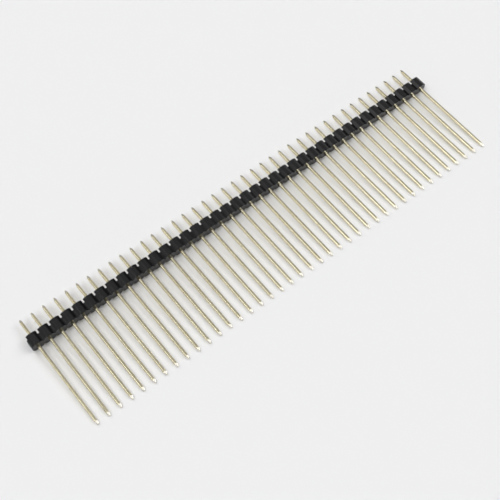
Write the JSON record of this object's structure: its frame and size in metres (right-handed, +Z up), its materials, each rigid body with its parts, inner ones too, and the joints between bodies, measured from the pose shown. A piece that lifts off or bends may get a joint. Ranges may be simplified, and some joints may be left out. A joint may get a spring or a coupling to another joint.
{
  "type": "pin header strip",
  "caption": "Straight single-row pin header strip: long square posts pressed through a snap-apart insulator, with short tails on the board side.",
  "frame": {"origin": "on the surface that the strip lies on, under the middle of its box", "axes": "+X along the row, +Y the way the short board-side tails point, +Z up; the strip lies on its side, tipped 2.9 degrees onto the ends of its long posts"},
  "size_m": [0.1016, 0.0258, 0.0026],
  "materials": {
    "insulator": "moulded black, slightly glossy",
    "post": "pale gold plating, drawn along the post"
  },
  "bodies": {
    "root": {"insulator": "insulator", "pin_01": "post", "pin_02": "post", "pin_03": "post", "pin_04": "post", "pin_05": "post", "pin_06": "post", "pin_07": "post", "pin_08": "post", "pin_09": "post", "pin_10": "post", "pin_11": "post", "pin_12": "post", "pin_13": "post", "pin_14": "post", "pin_15": "post", "pin_16": "post", "pin_17": "post", "pin_18": "post", "pin_19": "post", "pin_20": "post", "pin_21": "post", "pin_22": "post", "pin_23": "post", "pin_24": "post", "pin_25": "post", "pin_26": "post", "pin_27": "post", "pin_28": "post", "pin_29": "post", "pin_30": "post", "pin_31": "post", "pin_32": "post", "pin_33": "post", "pin_34": "post", "pin_35": "post", "pin_36": "post", "pin_37": "post", "pin_38": "post", "pin_39": "post", "pin_40": "post"}
  },
  "joints": []
}
